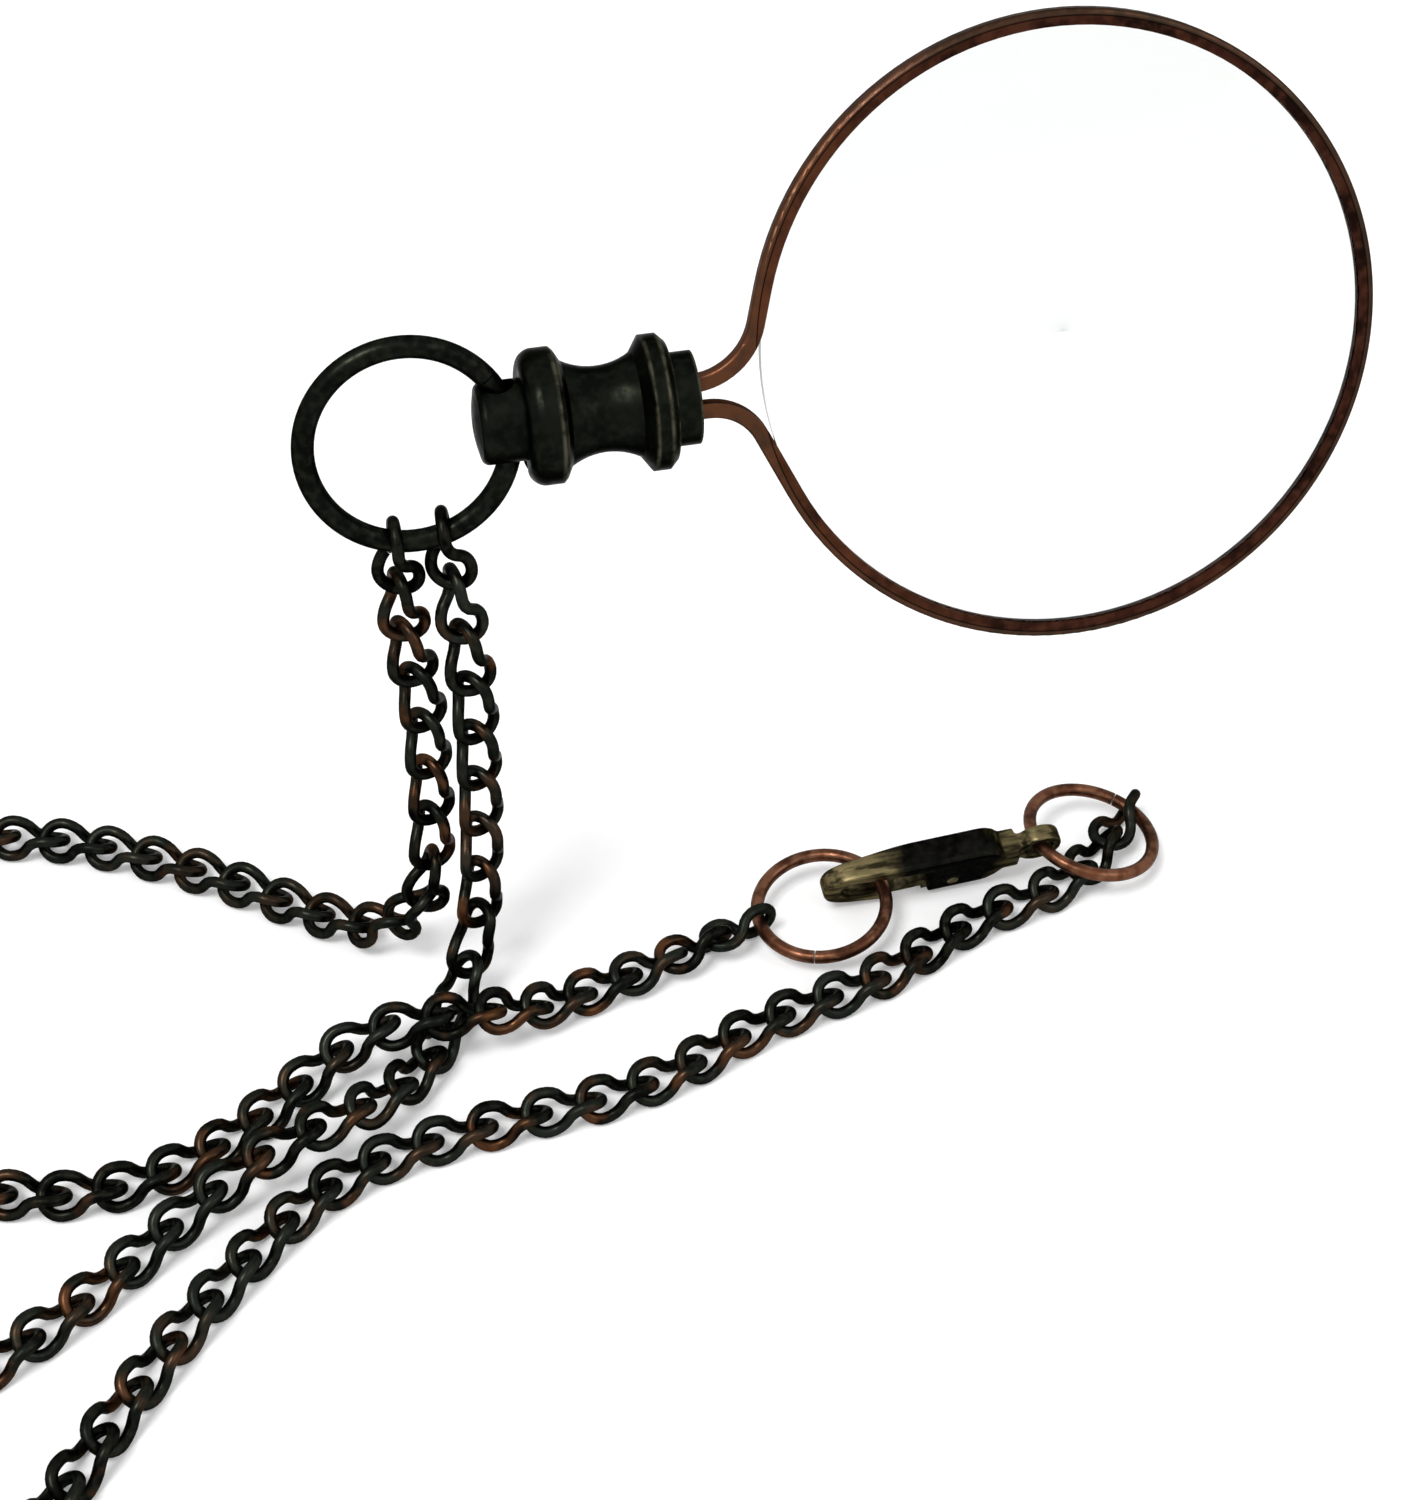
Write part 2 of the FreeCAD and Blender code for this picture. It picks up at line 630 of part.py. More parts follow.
def clasp_spring():
    """A bowed strip from the roof of the slot's closed end down to the lever's back."""
    seat = -clasp_width / 2 + lever_foot_inset + lever_arm_width + spring_seat_gap
    roof = clasp_pocket_roof - spring_seat_gap
    bow_x, bow_y = spring_bow
    edges = [
        arc(Vector(spring_front, seat, 0), Vector(bow_x, bow_y, 0), Vector(spring_rear, roof, 0)),
        line(Vector(spring_rear, roof, 0), Vector(spring_rear, roof - spring_strip, 0)),
        arc(Vector(spring_rear, roof - spring_strip, 0), Vector(bow_x, bow_y - spring_strip, 0),
            Vector(spring_front + spring_strip, seat, 0)),
        line(Vector(spring_front + spring_strip, seat, 0), Vector(spring_front, seat, 0)),
    ]
    return slab(edges, lever_thickness)


# Glass, rim and handle
glass_frame = standing_frame(loop_lean_back)
bend_about = Placement(ORIGIN, Rotation(Y_AXIS, -loop_bend), Vector(collar_face, 0, 0))
loop_frame = glass_frame.multiply(bend_about)
rim = place(rim_wire(), loop_frame)
write("lens", [place(lens(), loop_frame)])
write("rim_wire", [rim])
write("handle", [handle()])
write("rim_solder", [rim_solder(rim)])

# Bail ring in the handle
write("bail_ring", [bail_ring()])
hinge_point, hinge_axis = hole_line()
print("ring hinge", hinge_point, hinge_axis)

# Chain
link = chain_link()
upper_links = link_placements(upper_stretches, upper_pitch, upper_rolls)
lower_links = link_placements(lower_stretches, lower_pitch, lower_rolls)
hitch_links = [upper_links.pop()[1], lower_links.pop()[1]]
write("chain_hitch", [place(link, placement) for placement in hitch_links])
for name, _ in upper_stretches + lower_stretches:
    links = [place(link, placement) for own, placement in upper_links + lower_links if own == name]
    write(name, links)

# End rings and clasp
ring_a = cut_ring(end_ring_radius, end_ring_wire, end_ring_cut, end_ring_a_cut_angle)
ring_b = cut_ring(end_ring_radius, end_ring_wire, end_ring_cut, end_ring_b_cut_angle)
write("end_ring_a", [place(ring_a, end_ring_frame(end_ring_a_centre, end_ring_a_tilt))])
write("end_ring_b", [place(ring_b, end_ring_frame(end_ring_b_centre, end_ring_b_tilt))])
hook = clasp_frame()
write("clasp_body", [place(clasp_body(), hook)])
write("clasp_lever", [place(clasp_lever(), hook)])
write("clasp_pin", [place(pin_rod(clasp_pin_radius, clasp_thickness), hook)])
write("clasp_spring", [place(clasp_spring(), hook)])
pivot = hook.multVec(Vector(clasp_pivot, clasp_pivot_offset, 0))
print("clasp pivot", pivot, "axis", hook.Rotation.multVec(Z_AXIS))
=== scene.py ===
from math import atan2, cos, hypot, pi, radians, sin

import bmesh
import bpy
from mathutils import Matrix, Quaternion, Vector


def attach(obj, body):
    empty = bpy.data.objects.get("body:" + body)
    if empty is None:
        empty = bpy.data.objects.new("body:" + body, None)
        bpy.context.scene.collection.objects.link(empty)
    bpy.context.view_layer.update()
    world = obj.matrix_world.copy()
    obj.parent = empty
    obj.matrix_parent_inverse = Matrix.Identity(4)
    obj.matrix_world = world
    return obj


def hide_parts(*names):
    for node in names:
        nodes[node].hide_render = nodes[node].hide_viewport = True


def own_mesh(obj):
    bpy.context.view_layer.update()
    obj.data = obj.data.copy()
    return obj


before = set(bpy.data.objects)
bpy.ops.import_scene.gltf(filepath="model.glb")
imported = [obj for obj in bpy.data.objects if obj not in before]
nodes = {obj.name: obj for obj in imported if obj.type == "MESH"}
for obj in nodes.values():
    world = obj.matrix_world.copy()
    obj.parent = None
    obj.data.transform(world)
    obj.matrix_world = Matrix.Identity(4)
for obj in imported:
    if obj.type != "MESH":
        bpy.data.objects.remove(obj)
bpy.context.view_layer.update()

scene = bpy.context.scene


# Lens: one disc of thin ground glass, bright and clear, held in the rim's groove. Only its
# edge shows a faint green.

def new_material(name):
    """A node material holding only its output and a Principled shader, joined."""
    material = bpy.data.materials.new(name)
    material.use_nodes = True
    tree = material.node_tree
    tree.nodes.clear()
    out = tree.nodes.new("ShaderNodeOutputMaterial")
    shader = tree.nodes.new("ShaderNodeBsdfPrincipled")
    tree.links.new(shader.outputs["BSDF"], out.inputs["Surface"])
    return material, tree, shader, out


def set_shader(shader, **values):
    """Uniform shader values, by socket name with underscores for spaces."""
    for key, value in values.items():
        shader.inputs[key.replace("_", " ")].default_value = value


def finish_node(node, material):
    """Give a carried-over CAD piece its finish."""
    mesh = nodes[node].data
    mesh.materials.clear()
    mesh.materials.append(material)
    for face in mesh.polygons:
        face.material_index = 0


def object_position(tree):
    return tree.nodes.new("ShaderNodeTexCoord").outputs["Object"]


def noise(tree, vector, scale, detail=4.0, roughness=0.6):
    """Cloudy noise from 0 to 1, with this many features in a metre."""
    node = tree.nodes.new("ShaderNodeTexNoise")
    tree.links.new(vector, node.inputs["Vector"])
    node.inputs["Scale"].default_value = scale
    node.inputs["Detail"].default_value = detail
    node.inputs["Roughness"].default_value = roughness
    return node.outputs["Fac"]


def span(tree, value, low, high, start=0.0, end=1.0):
    """A value's place between low and high, eased and clamped."""
    node = tree.nodes.new("ShaderNodeMapRange")
    node.interpolation_type = "SMOOTHSTEP"
    tree.links.new(value, node.inputs["Value"])
    for key, number in (("From Min", low), ("From Max", high), ("To Min", start), ("To Max", end)):
        node.inputs[key].default_value = number
    return node.outputs["Result"]


lens_tint = (0.97, 0.985, 0.975, 1.0)
lens_shadow = (0.93, 0.95, 0.94, 1.0)
lens_smears_per_metre = 90.0
lens_polish = (0.004, 0.03)

lens_glass, tree, shader, out = new_material("Lens glass")
set_shader(shader, IOR=1.5, Transmission_Weight=1.0, Base_Color=lens_tint)
smears = noise(tree, object_position(tree), lens_smears_per_metre, 3.0)
tree.links.new(span(tree, smears, 0.45, 0.8, *lens_polish), shader.inputs["Roughness"])
clear = tree.nodes.new("ShaderNodeBsdfTransparent")
clear.inputs["Color"].default_value = lens_shadow
shade = tree.nodes.new("ShaderNodeMixShader")
light_path = tree.nodes.new("ShaderNodeLightPath")
tree.links.new(light_path.outputs["Is Shadow Ray"], shade.inputs["Fac"])
tree.links.new(shader.outputs["BSDF"], shade.inputs[1])
tree.links.new(clear.outputs["BSDF"], shade.inputs[2])
tree.links.new(shade.outputs["Shader"], out.inputs["Surface"])
finish_node("lens", lens_glass)


# Rim: one wire of antique copper bent round the lens, its two ends drawn together into the handle. A
# fine dark line of painted shade runs along its front, at the corner between an olive outer facet,
# painted lighter as a highlight, and a reddish inner one; it is rubbed orange by the handle and
# almost black away from it.

def math_node(tree, operation, a, b=None, clamp=False):
    """One sum on sockets or plain numbers."""
    node = tree.nodes.new("ShaderNodeMath")
    node.operation = operation
    node.use_clamp = clamp
    for socket, value in zip(node.inputs, (a, b)):
        if isinstance(value, (int, float)):
            socket.default_value = value
        elif value is not None:
            tree.links.new(value, socket)
    return node.outputs["Value"]


def mix_colour(tree, factor, under, over):
    """Blend of two colours or colour sockets by a mask."""
    node = tree.nodes.new("ShaderNodeMix")
    node.data_type = "RGBA"
    tree.links.new(factor, node.inputs[0])
    for socket, value in ((node.inputs[6], under), (node.inputs[7], over)):
        if isinstance(value, tuple):
            socket.default_value = (*value, 1.0)
        else:
            tree.links.new(value, socket)
    return node.outputs[2]


def bump(tree, height, strength, distance):
    node = tree.nodes.new("ShaderNodeBump")
    node.inputs["Strength"].default_value = strength
    node.inputs["Distance"].default_value = distance
    tree.links.new(height, node.inputs["Height"])
    return node.outputs["Normal"]


def axis_part(tree, vector, axis):
    split = tree.nodes.new("ShaderNodeSeparateXYZ")
    tree.links.new(vector, split.inputs["Vector"])
    return split.outputs[axis]


# Patina that every old metal here shares: soft clouds, a finer mottle and shallow dents. It
# puts out masks, a roughness and a surface normal; each metal keeps its own colours.
patina = bpy.data.node_groups.new("Antique patina", "ShaderNodeTree")
patina.interface.new_socket(name="Position", in_out="INPUT", socket_type="NodeSocketVector")
patina.interface.new_socket(name="Clouds per metre", in_out="INPUT", socket_type="NodeSocketFloat")
for socket_name in ("Clouds", "Mottle", "Roughness"):
    patina.interface.new_socket(name=socket_name, in_out="OUTPUT", socket_type="NodeSocketFloat")
patina.interface.new_socket(name="Normal", in_out="OUTPUT", socket_type="NodeSocketVector")
patina_in = patina.nodes.new("NodeGroupInput")
patina_out = patina.nodes.new("NodeGroupOutput")
mottle_fineness = 4.0
mottle_height = 0.3
dent_strength = 0.18
dent_depth = 0.00010
cloud = patina.nodes.new("ShaderNodeTexNoise")
cloud.inputs["Detail"].default_value = 3.0
cloud.inputs["Roughness"].default_value = 0.55
fine = patina.nodes.new("ShaderNodeTexNoise")
fine.inputs["Detail"].default_value = 3.0
patina.links.new(patina_in.outputs["Position"], cloud.inputs["Vector"])
patina.links.new(patina_in.outputs["Position"], fine.inputs["Vector"])
patina.links.new(patina_in.outputs["Clouds per metre"], cloud.inputs["Scale"])
fine_scale = math_node(patina, "MULTIPLY", patina_in.outputs["Clouds per metre"], mottle_fineness)
patina.links.new(fine_scale, fine.inputs["Scale"])
patina.links.new(span(patina, cloud.outputs["Fac"], 0.36, 0.66), patina_out.inputs["Clouds"])
patina.links.new(span(patina, fine.outputs["Fac"], 0.40, 0.68), patina_out.inputs["Mottle"])
polish = span(patina, fine.outputs["Fac"], 0.30, 0.70, 0.42, 0.28)
patina.links.new(polish, patina_out.inputs["Roughness"])
dents = math_node(patina, "ADD", cloud.outputs["Fac"],
                  math_node(patina, "MULTIPLY", fine.outputs["Fac"], mottle_height))
patina.links.new(bump(patina, dents, dent_strength, dent_depth), patina_out.inputs["Normal"])


def old_metal(name, dark, light, rubbed, rubbed_share, clouds_per_metre=420.0, edge_tint=0.45):
    """A metal gone dark: its ground, clouds of a lighter tone and a mottle of a rubbed one."""
    material, tree, shader, _ = new_material(name)
    marks = tree.nodes.new("ShaderNodeGroup")
    marks.node_tree = patina
    tree.links.new(object_position(tree), marks.inputs["Position"])
    marks.inputs["Clouds per metre"].default_value = clouds_per_metre
    ground = mix_colour(tree, marks.outputs["Clouds"], dark, light)
    share = math_node(tree, "MULTIPLY", marks.outputs["Mottle"], rubbed_share)
    tree.links.new(mix_colour(tree, share, ground, rubbed), shader.inputs["Base Color"])
    tree.links.new(marks.outputs["Roughness"], shader.inputs["Roughness"])
    tree.links.new(marks.outputs["Normal"], shader.inputs["Normal"])
    set_shader(shader, Metallic=1.0, Specular_Tint=(edge_tint, edge_tint, edge_tint, 1.0))
    return material, tree, shader, marks


def paint_over(tree, shader, mask, colour):
    """Lay a colour over a metal's own where a mask says."""
    under = shader.inputs["Base Color"].links[0].from_socket
    tree.links.new(mix_colour(tree, mask, under, colour), shader.inputs["Base Color"])


rim_centre = (0.03104, -0.00049, 0.00171)
line_radius = 0.02079
line_half_width = 0.00003
edge_shade_black = (0.004, 0.003, 0.002)
edge_shade_share = 0.9
outer_highlight_olive = (0.060, 0.040, 0.026)
outer_highlight_share = 0.5
handle_side_orange = (0.130, 0.047, 0.021)
orange_share = 0.65
worn_and_highlit_pink = (0.26, 0.125, 0.085)
worn_and_highlit_centre = (0.0205, -0.0004, 0.0200)
pink_share = 0.8

rim_copper, tree, shader, _ = old_metal(
    "Rim antique copper", (0.010, 0.0045, 0.0035), (0.045, 0.015, 0.009), (0.10, 0.036, 0.020),
    0.35, 300.0)
position = object_position(tree)
from_centre = tree.nodes.new("ShaderNodeVectorMath")
from_centre.operation = "DISTANCE"
from_centre.inputs[1].default_value = rim_centre
tree.links.new(position, from_centre.inputs[0])
radius = from_centre.outputs["Value"]
along_x = axis_part(tree, position, "X")
streaky = span(tree, noise(tree, position, 420.0), 0.35, 0.65, 0.25, 1.0)
outside = span(tree, radius, line_radius, line_radius + line_half_width)
# Outside the line the wire is painted lighter olive all round: a painted highlight on its outer
# facet.
paint_over(tree, shader, math_node(tree, "MULTIPLY", outside, outer_highlight_share), outer_highlight_olive)
by_handle = math_node(tree, "MULTIPLY", span(tree, along_x, 0.030, 0.006), streaky)
paint_over(tree, shader, math_node(tree, "MULTIPLY", by_handle, orange_share), handle_side_orange)
# Pink over the top of the outer facet: rubbed wear, and a painted highlight where the light falls
# from above and the left.
worn_and_highlit_distance = tree.nodes.new("ShaderNodeVectorMath")
worn_and_highlit_distance.operation = "DISTANCE"
worn_and_highlit_distance.inputs[1].default_value = worn_and_highlit_centre
tree.links.new(position, worn_and_highlit_distance.inputs[0])
at_top = span(tree, worn_and_highlit_distance.outputs["Value"], 0.0085, 0.0015)
worn_and_highlit_top = math_node(tree, "MULTIPLY", math_node(tree, "MULTIPLY", at_top, streaky), outside)
paint_over(tree, shader, math_node(tree, "MULTIPLY", worn_and_highlit_top, pink_share), worn_and_highlit_pink)
# The fine dark line is painted shade along the corner between the outer and inner facets.
inner_side = span(tree, radius, line_radius - 3 * line_half_width, line_radius - line_half_width)
outer_side = span(tree, radius, line_radius + 2 * line_half_width, line_radius)
painted_edge_shade = math_node(tree, "MULTIPLY", inner_side, outer_side)
paint_over(tree, shader, math_node(tree, "MULTIPLY", painted_edge_shade, edge_shade_share), edge_shade_black)
finish_node("rim_wire", rim_copper)


# Handle and solder: brass turned in one piece and blackened, satin with fine turning lines
# and rubbed a little on the flanges' edges. The rim's two wire ends are soft-soldered into
# its collar.
edge_rub = (0.085, 0.080, 0.055)
# Each rubbed edge: its place along the handle, its radius there, and how far the rub reaches
turned_edges = ((-0.00315, 0.00448, 0.00030), (-0.00290, 0.00423, 0.00026),
                (0.00285, 0.00448, 0.00024), (0.00390, 0.00448, 0.00026),
                (0.00440, 0.00398, 0.00024), (0.00610, 0.00309, 0.00020))
turning_stretch = (9000.0, 120.0, 120.0)
turning_strength = 0.12
turning_depth = 0.00004

handle_brass, tree, shader, marks = old_metal(
    "Blackened turned brass", (0.0042, 0.0048, 0.0037), (0.0075, 0.0088, 0.0064),
    (0.016, 0.018, 0.012), 0.25)
position = object_position(tree)
along = axis_part(tree, position, "X")
squares = [math_node(tree, "POWER", axis_part(tree, position, axis), 2.0) for axis in "YZ"]
turned_radius = math_node(tree, "SQRT", math_node(tree, "ADD", *squares))
rubbed = None
for edge_place, edge_radius, reach in turned_edges:
    off_along = math_node(tree, "POWER", math_node(tree, "SUBTRACT", along, edge_place), 2.0)
    off_radius = math_node(tree, "SUBTRACT", turned_radius, edge_radius)
    off_across = math_node(tree, "POWER", off_radius, 2.0)
    away = math_node(tree, "SQRT", math_node(tree, "ADD", off_along, off_across))
    near = span(tree, away, reach, reach * 0.2)
    rubbed = near if rubbed is None else math_node(tree, "MAXIMUM", rubbed, near)
uneven = span(tree, noise(tree, position, 700.0), 0.35, 0.62, 0.10, 0.75)
paint_over(tree, shader, math_node(tree, "MULTIPLY", rubbed, uneven), edge_rub)
stretch = tree.nodes.new("ShaderNodeMapping")
stretch.inputs["Scale"].default_value = turning_stretch
tree.links.new(position, stretch.inputs["Vector"])
turning_lines = math_node(tree, "MULTIPLY", noise(tree, stretch.outputs["Vector"], 1.0, 2.0), 0.5)
turned_height = math_node(tree, "ADD", turning_lines, marks.outputs["Clouds"])
tree.links.new(bump(tree, turned_height, turning_strength, turning_depth), shader.inputs["Normal"])
finish_node("handle", handle_brass)

solder, *_ = old_metal(
    "Dull solder", (0.03, 0.028, 0.024), (0.09, 0.08, 0.065), (0.18, 0.16, 0.13), 0.4)
finish_node("rim_solder", solder)


# Bail ring: round brass wire, greenish black, passed through the slanted hole in the
# handle's knob and closed by hand.
bail_brass, *_ = old_metal(
    "Greenish black brass", (0.0035, 0.0041, 0.0033), (0.0070, 0.0083, 0.0062),
    (0.024, 0.025, 0.017), 0.3)
finish_node("bail_ring", bail_brass)


# Chain: curb links bent from round wire, each twisted and hooked into the next, antique
# copper gone black and worn to orange-brown here and there. Two lengths run from the end
# rings over the floor and up to the bail ring, and hang from it pulled straight.
link_wire_radius = 0.000425
link_bow_radius = 0.0014
link_half_length = 0.002775
link_twist = radians(36.0)
bow_steps = 14
side_steps = 4
wire_sides = 12
outward_lean = 0.35
hanging_pitch = 0.00448
hanging_spaces = 7
steep_heading = 0.8
sheen_grey = (0.030, 0.036, 0.029)
sheen_share = 0.35
worn_orange = (0.105, 0.043, 0.019)

chain_copper, tree, shader, _ = old_metal(
    "Antique copper chain", (0.0022, 0.0024, 0.0020), (0.0090, 0.0100, 0.0078),
    (0.028, 0.026, 0.018), 0.3, 380.0)
tone = tree.nodes.new("ShaderNodeAttribute")
tone.attribute_name = "link_tone"
wear = tree.nodes.new("ShaderNodeAttribute")
wear.attribute_name = "link_wear"
paint_over(tree, shader, math_node(tree, "MULTIPLY", tone.outputs["Fac"], sheen_share), sheen_grey)
worn_patches = span(tree, noise(tree, object_position(tree), 230.0, 3.0), 0.50, 0.66)
worn_links = span(tree, tone.outputs["Fac"], 0.85, 0.15, 0.35, 1.0)
worn_here = math_node(tree, "MULTIPLY", worn_patches, worn_links)
worn = math_node(tree, "MULTIPLY", worn_here, wear.outputs["Fac"])
paint_over(tree, shader, worn, worn_orange)


def link_centreline():
    """The bent wire's centreline: two twisted bows joined by two long double curves."""
    straight = link_half_length - link_bow_radius
    flat = link_bow_radius * cos(link_twist)
    lift = link_bow_radius * sin(link_twist)
    slope = atan2(lift, straight)
    bend = hypot(straight, lift) / (2 * sin(slope))
    line = []
    for end in (-1, 1):
        for step in range(bow_steps + 1):
            angle = pi * step / bow_steps
            line.append(Vector((end * (straight + link_bow_radius * sin(angle)),
                                end * flat * cos(angle), -lift * cos(angle))))
        side = []
        for step in range(1, side_steps + 1):
            angle = 2 * slope * step / side_steps
            side.append((straight - bend * sin(angle), lift - bend * (1 - cos(angle))))
        for x, z in side:
            line.append(Vector((end * x, -end * flat, z)))
        for x, z in side[-2::-1]:
            line.append(Vector((-end * x, -end * flat, -z)))
    return line


def link_shape():
    """One link along x, as a closed tube."""
    centreline = link_centreline()
    count = len(centreline)
    points = []
    faces = []
    for index, centre in enumerate(centreline):
        heading = (centreline[(index + 1) % count] - centreline[index - 1]).normalized()
        outward = Vector((centre.x * outward_lean, centre.y, 0.0))
        outward = (outward - heading * outward.dot(heading)).normalized()
        up = heading.cross(outward)
        after = (index + 1) % count
        for side in range(wire_sides):
            turn = 2 * pi * side / wire_sides
            points.append(centre + (outward * cos(turn) + up * sin(turn)) * link_wire_radius)
            beside = (side + 1) % wire_sides
            faces.append((index * wire_sides + side, index * wire_sides + beside,
                          after * wire_sides + beside, after * wire_sides + side))
    mesh = bpy.data.meshes.new("chain link")
    mesh.from_pydata(points, [], faces)
    mesh.shade_smooth()
    return bpy.data.objects.new("link pattern", mesh)


link_pattern = link_shape()

# Links set on points: each turns to its point's heading and face and keeps its own tone.
chain_maker = bpy.data.node_groups.new("Links along a route", "GeometryNodeTree")
maker_sockets = chain_maker.interface
maker_sockets.new_socket(name="Geometry", in_out="INPUT", socket_type="NodeSocketGeometry")
link_socket = maker_sockets.new_socket(name="Link", in_out="INPUT", socket_type="NodeSocketObject")
finish_socket = maker_sockets.new_socket(
    name="Finish", in_out="INPUT", socket_type="NodeSocketMaterial")
seed_socket = maker_sockets.new_socket(
    name="Tone seed", in_out="INPUT", socket_type="NodeSocketInt")
maker_sockets.new_socket(name="Geometry", in_out="OUTPUT", socket_type="NodeSocketGeometry")
maker_in = chain_maker.nodes.new("NodeGroupInput")
maker_out = chain_maker.nodes.new("NodeGroupOutput")
pattern = chain_maker.nodes.new("GeometryNodeObjectInfo")
chain_maker.links.new(maker_in.outputs["Link"], pattern.inputs["Object"])
turn_link = chain_maker.nodes.new("FunctionNodeAxesToRotation")
turn_link.primary_axis = "X"
turn_link.secondary_axis = "Z"
for key, socket_name in (("heading", "Primary Axis"), ("face", "Secondary Axis")):
    read = chain_maker.nodes.new("GeometryNodeInputNamedAttribute")
    read.data_type = "FLOAT_VECTOR"
    read.inputs["Name"].default_value = key
    chain_maker.links.new(read.outputs["Attribute"], turn_link.inputs[socket_name])
set_links = chain_maker.nodes.new("GeometryNodeInstanceOnPoints")
chain_maker.links.new(maker_in.outputs["Geometry"], set_links.inputs["Points"])
chain_maker.links.new(pattern.outputs["Geometry"], set_links.inputs["Instance"])
chain_maker.links.new(turn_link.outputs["Rotation"], set_links.inputs["Rotation"])
pick_tone = chain_maker.nodes.new("FunctionNodeRandomValue")
chain_maker.links.new(maker_in.outputs["Tone seed"], pick_tone.inputs["Seed"])
store_tone = chain_maker.nodes.new("GeometryNodeStoreNamedAttribute")
store_tone.data_type = "FLOAT"
store_tone.domain = "INSTANCE"
store_tone.inputs["Name"].default_value = "link_tone"
chain_maker.links.new(set_links.outputs["Instances"], store_tone.inputs["Geometry"])
chain_maker.links.new(pick_tone.outputs[1], store_tone.inputs["Value"])
realize = chain_maker.nodes.new("GeometryNodeRealizeInstances")
chain_maker.links.new(store_tone.outputs["Geometry"], realize.inputs["Geometry"])
dress = chain_maker.nodes.new("GeometryNodeSetMaterial")
chain_maker.links.new(realize.outputs["Geometry"], dress.inputs["Geometry"])
chain_maker.links.new(maker_in.outputs["Finish"], dress.inputs["Material"])
chain_maker.links.new(dress.outputs["Geometry"], maker_out.inputs["Geometry"])


def plain_mesh(holder):
    """What an object looks like with its modifiers on, as a mesh of its own."""
    bpy.context.view_layer.update()
    shown = holder.evaluated_get(bpy.context.evaluated_depsgraph_get())
    return bpy.data.meshes.new_from_object(shown)


def route_line(name, points):
    """A chain's smooth line through its route, read back in small steps."""
    curve = bpy.data.curves.new(name, "CURVE")
    curve.dimensions = "3D"
    curve.resolution_u = 24
    spline = curve.splines.new("NURBS")
    spline.points.add(len(points) - 1)
    for point, place in zip(spline.points, points):
        point.co = (*place, 1.0)
    spline.order_u = 3
    spline.use_endpoint_u = True
    holder = bpy.data.objects.new(name, curve)
    scene.collection.objects.link(holder)
    mesh = plain_mesh(holder)
    line = [vertex.co.copy() for vertex in mesh.vertices]
    bpy.data.objects.remove(holder)
    bpy.data.meshes.remove(mesh)
    return line


def link_places(line, lying_spaces):
    """Places and headings of the links: even where the chain lies, wider where it hangs."""
    lengths = [0.0]
    for a, b in zip(line, line[1:]):
        lengths.append(lengths[-1] + (b - a).length)
    lying = lengths[-1] - hanging_spaces * hanging_pitch
    places = []
    index = 0
    for number in range(lying_spaces + hanging_spaces + 1):
        wanted = lying * min(number, lying_spaces) / lying_spaces
        wanted += hanging_pitch * max(0, number - lying_spaces)
        while index < len(line) - 2 and lengths[index + 1] < wanted:
            index += 1
        a, b = line[index], line[index + 1]
        share = (wanted - lengths[index]) / (lengths[index + 1] - lengths[index])
        places.append((a.lerp(b, share), (b - a).normalized()))
    return places, lengths[-1]


def roll_at(number, count, rolls):
    """Roll of a link about the route; stated links below zero count from the end."""
    stated = [(index + count if index < 0 else index, roll) for index, roll in rolls]
    for (first, start), (last, end) in zip(stated, stated[1:]):
        if number <= last:
            return start + (end - start) * (number - first) / (last - first)
    return stated[-1][1]


def make_chain(name, line, lying_spaces, rolls, wear_at, seed):
    """All the links of one length of chain, less the last, which is on the bail ring."""
    places, length = link_places(line, lying_spaces)
    faces = []
    face = Vector((0, 0, 1))
    for number, (_, heading) in enumerate(places):
        if abs(heading.z) < steep_heading:
            face = Vector((0, 0, 1))
        face = (face - heading * face.dot(heading)).normalized()
        faces.append(Quaternion(heading, radians(roll_at(number, len(places), rolls))) @ face)
    points = bpy.data.meshes.new(name)
    points.from_pydata([where for where, _ in places[:-1]], [], [])
    for key, values in (("heading", [heading for _, heading in places]), ("face", faces)):
        layer = points.attributes.new(key, "FLOAT_VECTOR", "POINT")
        for item, value in zip(layer.data, values):
            item.vector = value
    chain = bpy.data.objects.new(name, points)
    scene.collection.objects.link(chain)
    modifier = chain.modifiers.new("links", "NODES")
    modifier.node_group = chain_maker
    modifier[link_socket.identifier] = link_pattern
    modifier[finish_socket.identifier] = chain_copper
    modifier[seed_socket.identifier] = seed
    made = plain_mesh(chain)
    chain.modifiers.remove(modifier)
    chain.data = made
    made.name = name
    layer = made.attributes.new("link_wear", "FLOAT", "POINT")
    for vertex, item in zip(made.vertices, layer.data):
        item.value = wear_at(vertex.co)
    made.shade_smooth()
    return chain, length


